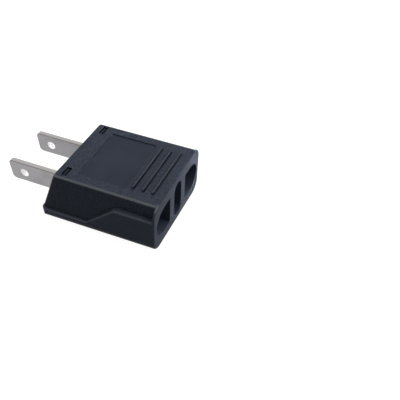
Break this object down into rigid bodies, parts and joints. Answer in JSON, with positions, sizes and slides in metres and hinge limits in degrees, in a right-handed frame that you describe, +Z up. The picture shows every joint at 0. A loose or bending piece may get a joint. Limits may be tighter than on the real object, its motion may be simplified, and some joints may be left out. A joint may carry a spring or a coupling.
{
  "type": "travel adapter",
  "caption": "Black moulded travel adapter with flat plug blades at its sloping end and a socket face with D-shaped pin wells and a blind middle slot at the other.",
  "frame": {"origin": "centre of the bounding box, on the flat underside", "axes": "+X from the blade tips to the socket face, +Y across the blades, +Z up from the flat underside to the ribbed top"},
  "size_m": [0.0474, 0.0278, 0.0159],
  "materials": {
    "shell": "fine moulded texture, satin black",
    "plated_blade": "satin nickel plating on brass",
    "spring_brass": "bare stamped strip"
  },
  "bodies": {
    "root": {"housing": "shell", "rear_cap": "shell", "left_blade": "plated_blade", "right_blade": "plated_blade", "left_contact": "spring_brass", "right_contact": "spring_brass", "left_rivet": "spring_brass", "right_rivet": "spring_brass"}
  },
  "joints": []
}
